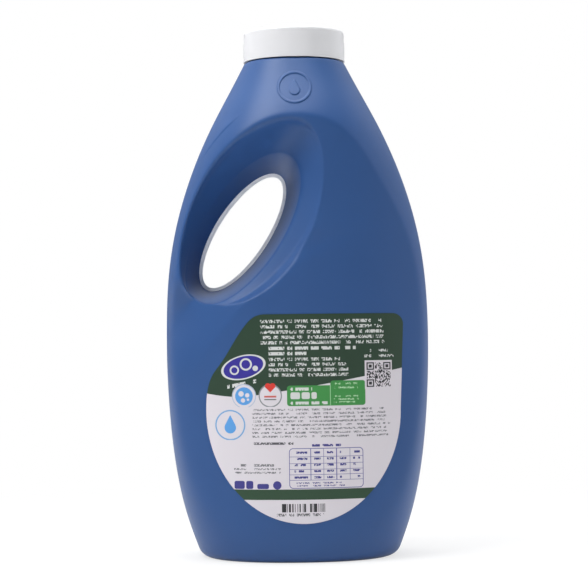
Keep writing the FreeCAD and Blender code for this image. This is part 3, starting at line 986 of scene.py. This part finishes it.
right, up = x - SPLASH_CENTRE[0], z - SPLASH_CENTRE[1]
along = right * SPLASH_TILT[0] + up * SPLASH_TILT[1]
across = up * SPLASH_TILT[0] - right * SPLASH_TILT[1]
reach = along * along / SPLASH_HALF[0] ** 2 + across * across / SPLASH_HALF[1] ** 2
colour = (reach < 1.0).mixed(colour, PRINT_WHITE)
colour = (reach < SPLASH_FIELD).mixed(colour, SPLASH_BLUE)
colour = every(disc, x, z, BUBBLES).mixed(colour, PRINT_WHITE)
insides = every(disc, x, z, BUBBLE_INSIDES)
colour = insides.mixed(colour, SPLASH_BLUE)
colour = words(x, z + x * TAG_SLANT, *TAG).mixed(colour, PRINT_WHITE)
print("Splash: %d bubbles" % len(BUBBLES))

# %% [markdown]
# There are two round seals: a blue one with a spray of drops, and a white one with a heart.

# %% Two round seals
BLUE_SEAL = (-29.8, 92.1)
HEART_SEAL = (-15.3, 92.3)
SPRAY = ((-31.4, 93.4, 1.5), (-28.0, 92.6, 1.2), (-30.4, 89.8, 1.2), (-27.6, 90.2, 0.7))
HEART_LOBES = ((-16.6, 97.6, 1.55), (-14.0, 97.6, 1.55))
HEART_LEVELS = (94.1, 97.3)
HEART_SLOPE = 0.95

colour = disc(x, z, *BLUE_SEAL, 6.7).mixed(colour, LABEL_WHITE)
colour = hoop(x, z, *BLUE_SEAL, 6.4, 0.35).mixed(colour, srgb(150, 170, 196))
colour = disc(x, z, *BLUE_SEAL, 4.9).mixed(colour, SKY_BLUE)
colour = every(disc, x, z, SPRAY).mixed(colour, LABEL_WHITE)
colour = disc(x, z, *HEART_SEAL, 6.3).mixed(colour, LABEL_WHITE)
colour = hoop(x, z, *HEART_SEAL, 6.1, 0.7).mixed(colour, srgb(128, 132, 136))
lobes = every(disc, x, z, HEART_LOBES)
flank = abs(x - HEART_SEAL[0]) < (z - HEART_LEVELS[0]) * HEART_SLOPE
colour = (lobes | flank * (z < HEART_LEVELS[1])).mixed(colour, HEART_RED)
colour = bar(x, z, -18.6, -12.0, 91.3, 92.3).mixed(colour, srgb(190, 92, 84))
colour = bar(x, z, -18.6, -12.0, 89.9, 90.4).mixed(colour, STRIPE_GREEN)
print("Seals: 2")

# %% [markdown]
# The green badge is two tiles that overlap. A tile is given by its left, right, low and high side
# and the radius of its corners.

# %% Green badge
BADGE_TILES = ((-6.1, 37.1, 86.5, 97.7, 1.6), (17.7, 37.1, 86.5, 100.2, 1.6))
BADGE_LINE = (17.5, 17.9, 86.7, 97.7)
BADGE_WORDS = (
    (-4.3, 8, 96.6, 3.0, 1, 1.7, 0.3, 0.08), (-4.3, 16.4, 88.9, 3.0, 1, 1.6, 0.3, 0.08))
BADGE_BLOCKS = (
    (-4.2, 1.0, 90.3, 94.0, 0.9), (1.9, 6.4, 90.3, 94.0, 0.9), (7.3, 10.2, 90.3, 94.0, 0.9))
SMALL_WORDS = ((20, 34.6, 99.0, 2.2, 2, 1.0, 2.0), (19.6, 35.0, 92.0, 1.6, 3, 0.8, 2.0))

colour = every(tile, x, z, BADGE_TILES).mixed(colour, BADGE_GREEN)
colour = bar(x, z, *BADGE_LINE).mixed(colour, srgb(150, 196, 150))
marks = every(words, x, z, BADGE_WORDS)
marks = marks | every(tile, x, z, BADGE_BLOCKS)
colour = marks.mixed(colour, PRINT_WHITE)
marks = every(words, x, z, SMALL_WORDS)
colour = marks.mixed(colour, srgb(176, 212, 174))
print("Badge: %d tiles" % len(BADGE_TILES))

# %% [markdown]
# A patch of random squares has three targets, each of them squares inside squares.

# %% Patch of random squares
SQUARE = 0.56
PATCH = (36.9, 52.2, 95.2, 111.0)
PATCH_INSIDE = (38.0, 51.4, 96.4, 109.8)
TARGETS = ((40.0, 107.8), (49.4, 107.8), (40.0, 98.4))
TARGET_HALVES = ((2.6, LABEL_WHITE), (2.1, INK), (1.4, LABEL_WHITE), (0.85, INK))

colour = bar(x, z, *PATCH).mixed(colour, LABEL_WHITE)
dots = chance(x, (x / SQUARE).floor(), (z / SQUARE).floor()) > 0.5
colour = (dots * bar(x, z, *PATCH_INSIDE)).mixed(colour, INK)
for right, up in TARGETS:
    for half, tone in TARGET_HALVES:
        square = bar(x, z, right - half, right + half, up - half, up + half)
        colour = square.mixed(colour, tone)
finish_film(spot, colour)
print("Patch: %d targets" % len(TARGETS))

# %% [markdown]
# The middle part has fine lines on the white, and a drop in a ring that stands alone.

# %% Fine print in the middle
FINE_WORDS = (-25.5, 52.2, 85.0, 2.09, 8, 1.05, 5.0)
LONE_RING = (-37.6, 76.2, 8.0, 0.8)
LONE_DROP = (-37.6, 74.8, 3.2)

lines_finish, spot = new_material("back_label_lines_print")
x, y, z = split(spot)
colour = words(x, z, *FINE_WORDS).mixed(LABEL_WHITE, PRINT_GREY)
colour = hoop(x, z, *LONE_RING).mixed(colour, srgb(112, 160, 205))
colour = drop(x, z, *LONE_DROP).mixed(colour, SKY_BLUE)
finish_film(spot, colour)
print("Middle part done")

# %% [markdown]
# The foot has grey marks and a row of bold blocks on the left, and a ruled table on the right.

# %% Marks and blocks in the foot
GREY_WORDS = ((-32.0, -13.2, 54.8, 3.0, 1, 1.3, 0.5, 0.1), (-35.7, -9.5, 52.6, 2.0, 2, 1.0, 0.5))
BOLD_WORDS = (-25.5, -1.0, 66.7, 3.0, 1, 1.3, 0.5, 0.1)
BOLD_BLOCKS = (
    (-35.6, -29.9, 41.2, 45.6, 1.0), (-29.1, -25.2, 41.2, 45.6, 1.0), (-23.0, -16.6, 41.2, 44.0, 0.9))
BOLD_DOT = (-12.0, 43.2, 2.3)

foot_finish, spot = new_material("back_label_foot_print")
x, y, z = split(spot)
colour = add_stripe(z, LABEL_WHITE)
marks = every(words, x, z, GREY_WORDS)
colour = marks.mixed(colour, PRINT_GREY)
colour = words(x, z, *BOLD_WORDS).mixed(colour, srgb(80, 80, 86))
blocks = every(tile, x, z, BOLD_BLOCKS) | disc(x, z, *BOLD_DOT)
colour = blocks.mixed(colour, PRINT_NAVY)
print("Blocks: %d" % len(BOLD_BLOCKS))

# %% [markdown]
# The table's edge is a tile less a smaller tile. Its rules are thin bars, and its cells hold marks.

# %% Table
TABLE_OUTSIDE = (-5.4, 35.5, 41.3, 63.4, 2.2)
TABLE_INSIDE = (-5.0, 35.1, 41.7, 63.0, 1.9)
RULE_LEVELS = (58.7, 55.0, 51.8, 48.9, 45.9)
RULE_HALF = 0.13
RULE_ENDS = (-5.3, 35.4)
UPRIGHTS = ((6.5, 0.22), (13.6, 0.13), (20.7, 0.26), (28.1, 0.13))
UPRIGHT_ENDS = (45.9, 63.2)
TABLE_TITLE = (6.1, 23.7, 65.5, 3.0, 1, 1.3, 0.3, 0.1)
TABLE_COLUMNS = ((-2.5, 5.0), (8.3, 12.3), (15.4, 19.4), (22.4, 26.4), (29.8, 34.0))
CELL_WORDS = (61.6, 3.4, 5, 1.2, 0.4, 0.15)
TABLE_NOTE = (-2.2, 30.0, 44.7, 1.5, 2, 0.8, 6.0)

edge = tile(x, z, *TABLE_OUTSIDE) * (1 - tile(x, z, *TABLE_INSIDE))
for level in RULE_LEVELS:
    edge = edge | bar(x, z, *RULE_ENDS, level - RULE_HALF, level + RULE_HALF)
for middle, half in UPRIGHTS:
    edge = edge | bar(x, z, middle - half, middle + half, *UPRIGHT_ENDS)
colour = edge.mixed(colour, srgb(92, 92, 150))
marks = words(x, z, *TABLE_TITLE)
for left, right in TABLE_COLUMNS:
    marks = marks | words(x, z, left, right, *CELL_WORDS)
marks = marks | words(x, z, *TABLE_NOTE)
colour = marks.mixed(colour, PRINT_NAVY)
print("Table: %d columns" % len(TABLE_COLUMNS))

# %% [markdown]
# Upright bars of random width stand under the stripe, over one more row of marks.

# %% Upright bars
BAR_CELL = 0.36
BAR_SHARE = 0.46
BARS = (-9.6, 14.4, 28.4, 33.0)
BAR_WORDS = (-12.4, 13.6, 27.7, 3.0, 1, 1.5, 0.2, 0.3)

bars = (chance(x, (x / BAR_CELL).floor()) > BAR_SHARE) * bar(x, z, *BARS)
colour = bars.mixed(colour, INK)
colour = words(x, z, *BAR_WORDS).mixed(colour, srgb(96, 96, 100))
finish_film(spot, colour)
for finish in (head_finish, lines_finish, foot_finish):
    back_film.data.materials.append(finish)
print("Back label: %d materials" % len(back_film.data.materials))

# %% [markdown]
# The front label faces away from the photograph. It has the same fields, and in the middle a
# large plain drop with three bubbles, which says what is inside without any words.

# %% Front label
BIG_DROP = (8.0, 108.0)
GLEAMS = ((4.6, 106.6, 1.7), (24.0, 112.0, 3.0), (-12.0, 118.0, 2.2), (30.5, 119.5, 1.8))
PLATE_OUTSIDE = (-26.0, 34.0, 62.0, 78.0, 4.0)
PLATE_INSIDE = (-25.2, 33.2, 62.8, 77.2, 3.4)
# a leaf is what two discs share
LEAVES = (((-8.0, 66.0, 6.0), (-4.0, 73.0, 6.0)), ((12.0, 66.0, 6.0), (8.0, 73.0, 6.0)))

front_finish, spot = new_material("front_label_print")
x, y, z = split(spot)
colour = label_fields(x, z)
colour = drop(x, z, *BIG_DROP, 9.5).mixed(colour, srgb(226, 232, 236))
colour = drop(x, z, *BIG_DROP, 8.3).mixed(colour, SKY_BLUE)
colour = every(disc, x, z, GLEAMS).mixed(colour, PRINT_WHITE)
colour = tile(x, z, *PLATE_OUTSIDE).mixed(colour, BADGE_GREEN)
colour = tile(x, z, *PLATE_INSIDE).mixed(colour, srgb(210, 228, 210))
for one, other in LEAVES:
    leaf = disc(x, z, *one) * disc(x, z, *other)
    colour = leaf.mixed(colour, BADGE_GREEN)
finish_film(spot, colour)
paint(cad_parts["front_label"], front_finish)
print("Front label: %d leaves" % len(LEAVES))

# %% [markdown]
# ## Studio
#
# The photograph was taken in a white sweep with soft light from above, a little more from the
# left, and white all round, which draws a pale rim down both sides of the bottle. The floor is
# white to the camera and still takes the shadow under the bottle.

# %% Floor
FLOOR_HALF = 30.0
FLOOR_CELLS = 8
SHADOW_NEAR = 150.0
SHADOW_FADE = 350.0
SHADOW_SHOW = 0.3
MIRRORED = 0.5
WHITE = (1.0, 1.0, 1.0, 1.0)

floor_work = bmesh.new()
bmesh.ops.create_grid(floor_work, x_segments=FLOOR_CELLS, y_segments=FLOOR_CELLS,
                      size=FLOOR_HALF / MM)
floor = finish_mesh(floor_work, "studio_floor")
floor_finish, spot = new_material("pale_floor")
cloud = noise(spot, 0.004, 2.0)
base = cloud.mixed(srgb(233, 233, 233), srgb(236, 236, 236))
lit = spot.node("ShaderNodeBsdfPrincipled", inputs={"Base Color": base, "Roughness": 0.7})
glow = spot.node("ShaderNodeEmission", inputs={"Color": WHITE, "Strength": 1.0})
path = spot.node("ShaderNodeLightPath").socket.node
seen = Wire(spot.tree, path.outputs["Is Camera Ray"])
seen = seen | Wire(spot.tree, path.outputs["Is Glossy Ray"]) * MIRRORED
x, y, z = split(spot)
away = ((x * x + y * y).root() - SHADOW_NEAR) / SHADOW_FADE
near = (1 - (away | 0.0)) | 0.0
shown = spot.node("ShaderNodeMixShader", inputs={
    0: seen * (1 - near * near * SHADOW_SHOW), 1: lit, 2: glow})
spot.node("ShaderNodeOutputMaterial", inputs={"Surface": shown})
paint(floor, floor_finish)
print("Floor done")

# %% [markdown]
# The world is white to the camera. To the bottle it is bright behind, so that both sides get their
# pale rim, and dim in front. What the gloss mirrors is dimmer still, except from overhead.

# %% World
BEHIND_GAIN = 1.4
BEHIND_FROM = 0.35
OVERHEAD_GAIN = 2.5
OVERHEAD_FROM = 0.6
SKY_STRENGTH = 0.75
GLOSS_DIM = 0.5
SKY_LEAST = 0.12
SKY_TINT = (0.95, 0.97, 1.0, 1.0)

world = bpy.data.worlds.new("studio")
bpy.context.scene.world = world
world.use_nodes = True
world.node_tree.nodes.clear()
start = Wire(world.node_tree)
path = start.node("ShaderNodeLightPath").socket.node
seen = Wire(start.tree, path.outputs["Is Camera Ray"])
across, behind, above = split(start.node("ShaderNodeTexCoord"))
turned = (behind * BEHIND_GAIN + BEHIND_FROM | 0.0) & 1.0
overhead = (above * OVERHEAD_GAIN - OVERHEAD_FROM | 0.0) & 1.0
glossy = Wire(start.tree, path.outputs["Is Glossy Ray"])
strength = turned * (SKY_STRENGTH - glossy * (GLOSS_DIM - overhead)) + SKY_LEAST
soft = start.node("ShaderNodeBackground", inputs={"Color": SKY_TINT, "Strength": strength})
bright = start.node("ShaderNodeBackground", inputs={"Color": WHITE, "Strength": 1.0})
shown = start.node("ShaderNodeMixShader", inputs={0: seen, 1: soft, 2: bright})
start.node("ShaderNodeOutputWorld", inputs={"Surface": shown})
print("World done")

# %% [markdown]
# The lamps are wide soft boxes. Two strips behind the bottle light its sides but aren't mirrored
# in it.

# %% Lamps
CENTRE = Vector((0, 0, 0.16))


def softbox(name, spot, wide, high, watts, mirrored=True):
    """A rectangular lamp at a place, turned towards the middle of the bottle."""
    lamp = bpy.data.lights.new(name, "AREA")
    lamp.shape = "RECTANGLE"
    lamp.size, lamp.size_y, lamp.energy = wide, high, watts
    piece = bpy.data.objects.new(name, lamp)
    piece.location = spot
    piece.rotation_euler = (CENTRE - Vector(spot)).to_track_quat("-Z", "Y").to_euler()
    piece.visible_glossy = mirrored
    bpy.context.scene.collection.objects.link(piece)


softbox("key", (-0.70, -0.52, 1.22), 0.8, 0.8, 14.4)
softbox("top", (-0.05, -0.10, 1.35), 1.0, 1.0, 13.6)
softbox("left_strip", (-0.90, 0.50, 0.10), 0.4, 1.0, 3.5, False)
softbox("right_strip", (0.90, 0.50, 0.20), 0.4, 1.0, 5.0, False)
softbox("right_side", (1.20, -0.35, 0.60), 0.9, 0.9, 1.8)
softbox("fill_front", (0.10, -1.4, 0.35), 1.0, 1.0, 0.5)
print("Lamps: 6")

# %% [markdown]
# ## Camera
#
# The bottle was photographed nearly level from about a metre away, with a long lens. The distance
# comes from how much nearer parts look larger, and the bottle leans a little in the picture, so
# the camera is rolled by that much.

# %% Camera
CAMERA_SIDE = -0.0016
CAMERA_DISTANCE = 1.12
CAMERA_LEVEL = 0.126
FOCAL_PIXELS = 1954.0
PICTURE_PIXELS = 588
SENSOR = 36.0
AIM_PIXELS = 40.0
PITCH = math.atan(AIM_PIXELS / FOCAL_PIXELS)
NEAREST = 0.05
ROLL = math.radians(0.69)

camera_data = bpy.data.cameras.new("camera")
camera_data.sensor_width = SENSOR
camera_data.lens = SENSOR * FOCAL_PIXELS / PICTURE_PIXELS
camera_data.clip_start = NEAREST
camera = bpy.data.objects.new("camera", camera_data)
aim = Euler((math.pi / 2 + PITCH, 0, 0)).to_matrix().to_4x4()
place_at = Matrix.Translation((CAMERA_SIDE, -CAMERA_DISTANCE, CAMERA_LEVEL))
camera.matrix_world = place_at @ aim @ Matrix.Rotation(-ROLL, 4, "Z")
bpy.context.scene.collection.objects.link(camera)
bpy.context.scene.camera = camera
bpy.context.scene.view_settings.view_transform = "Standard"
print("Lens: %.1f mm" % camera_data.lens)
